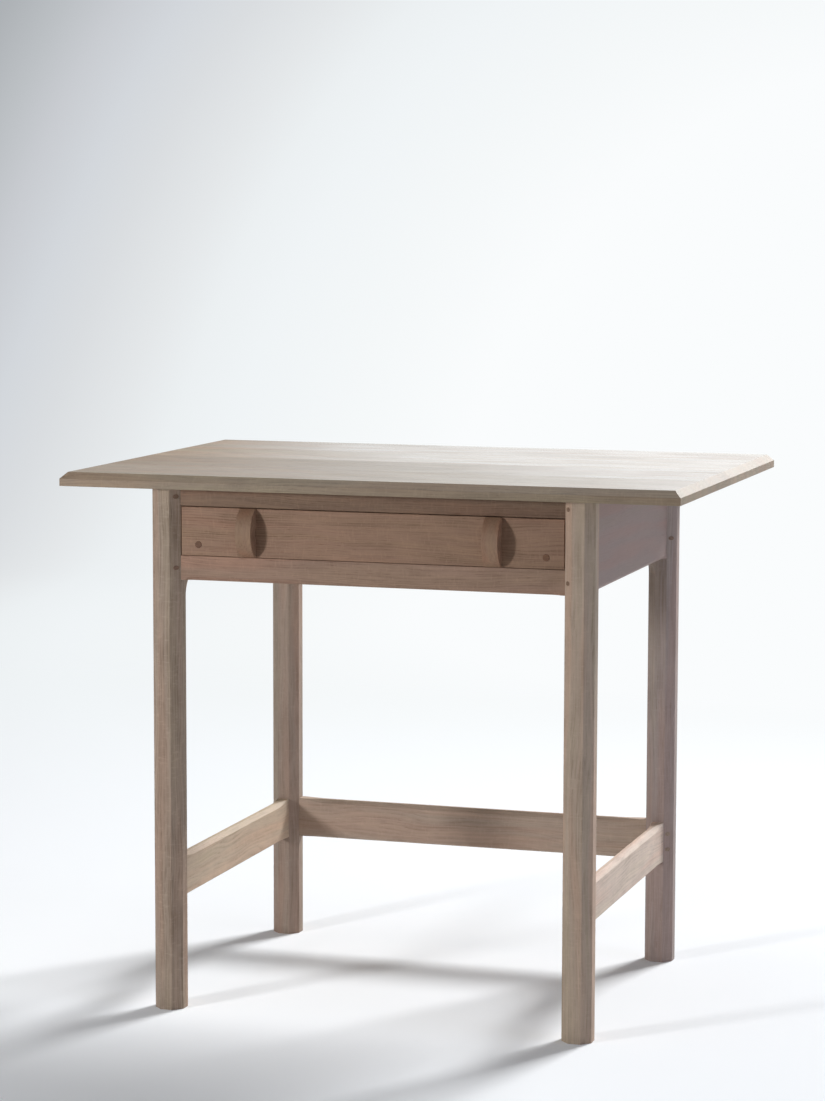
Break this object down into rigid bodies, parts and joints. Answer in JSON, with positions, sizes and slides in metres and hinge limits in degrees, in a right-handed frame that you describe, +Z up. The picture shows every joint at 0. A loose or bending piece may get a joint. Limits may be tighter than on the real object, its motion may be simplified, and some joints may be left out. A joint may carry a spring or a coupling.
{
  "type": "writing desk",
  "caption": "Small oak writing desk: a bevelled top over a shallow drawer, octagonal legs, and stopped-chamfer stretchers at the sides and back.",
  "frame": {"origin": "on the floor under the middle of the top", "axes": "+X to the right as seen from the drawer side, +Y towards the back, +Z up"},
  "size_m": [0.872, 0.624, 0.75],
  "materials": {
    "oak_top": "dull oiled oak, planed",
    "oak_frame": "dull oiled oak, planed",
    "oak_drawer_front": "dull oiled oak, planed",
    "oak_drawer_box": "bare oak, planed",
    "oak_inside": "bare oak, sawn and planed",
    "oak_peg": "oiled end grain",
    "dark_plug": "oiled dark end grain",
    "steel_screw": "dull steel"
  },
  "bodies": {
    "desk": {"top_board_front": "oak_top", "top_board_front_middle": "oak_top", "top_board_back_middle": "oak_top", "top_board_back": "oak_top", "leg_front_left": "oak_frame", "leg_front_right": "oak_frame", "leg_back_left": "oak_frame", "leg_back_right": "oak_frame", "front_top_rail": "oak_frame", "front_lower_rail": "oak_frame", "apron_left": "oak_frame", "apron_right": "oak_frame", "apron_back": "oak_frame", "stretcher_left": "oak_frame", "stretcher_right": "oak_frame", "stretcher_back": "oak_frame", "front_rail_pegs": "oak_peg", "apron_pegs": "oak_peg", "stretcher_pegs": "oak_peg", "runner_left": "oak_inside", "runner_right": "oak_inside", "guide_left": "oak_inside", "guide_right": "oak_inside", "kicker_left": "oak_inside", "kicker_right": "oak_inside", "drawer_stops": "oak_inside", "top_buttons": "oak_inside", "bearer_screws": "steel_screw", "top_screws": "steel_screw", "button_screws": "steel_screw"},
    "drawer": {"drawer_bottom_screws": "steel_screw", "drawer_front": "oak_drawer_front", "drawer_side_left": "oak_drawer_box", "drawer_side_right": "oak_drawer_box", "drawer_back": "oak_drawer_box", "drawer_bottom": "oak_drawer_box", "drawer_front_plugs": "dark_plug", "handle_left": "oak_drawer_front", "handle_right": "oak_drawer_front", "handle_screws": "steel_screw"}
  },
  "joints": [
    {"name": "drawer_slide", "type": "slide", "parent": "desk", "child": "drawer", "axis": [0, -1, 0], "range_m": [0, 0.32]}
  ]
}
